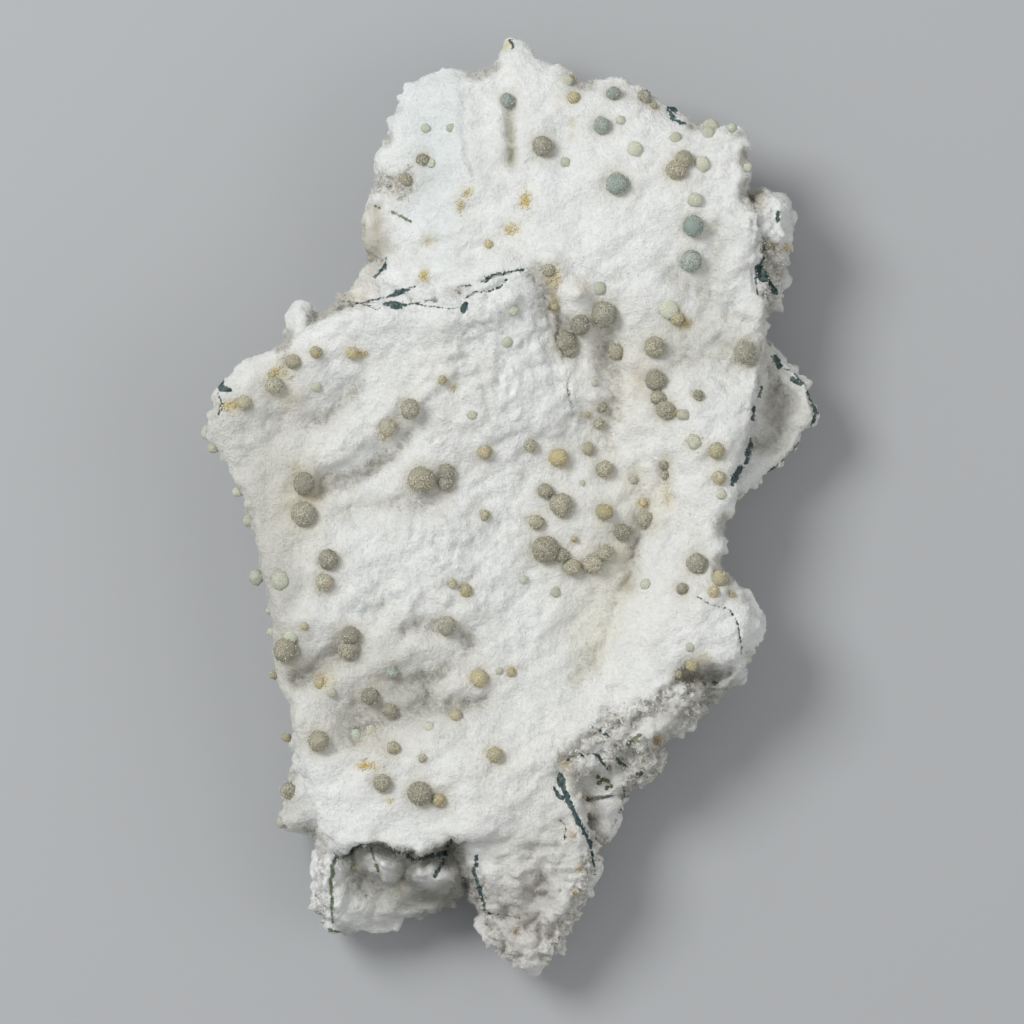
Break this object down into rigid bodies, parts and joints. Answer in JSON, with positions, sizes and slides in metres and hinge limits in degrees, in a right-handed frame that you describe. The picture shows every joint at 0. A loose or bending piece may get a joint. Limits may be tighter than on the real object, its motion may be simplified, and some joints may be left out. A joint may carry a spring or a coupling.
{
  "type": "okenite specimen",
  "caption": "Irregular slab of white matted okenite crust with small round gyrolite balls and dark green celadonite seams, lying on its flat back.",
  "frame": {"origin": "centre of the bounding box, at the rest facet", "axes": "+X to the right and +Y to the top of the face, +Z out of the face"},
  "size_m": [0.1229, 0.1874, 0.0408],
  "materials": {
    "okenite": "white matted needles, dull and velvety",
    "gyrolite": "grey-brown to golden, sugary",
    "celadonite": "dark blue-green, earthy"
  },
  "bodies": {
    "root": {"okenite_specimen": "okenite"}
  },
  "joints": []
}
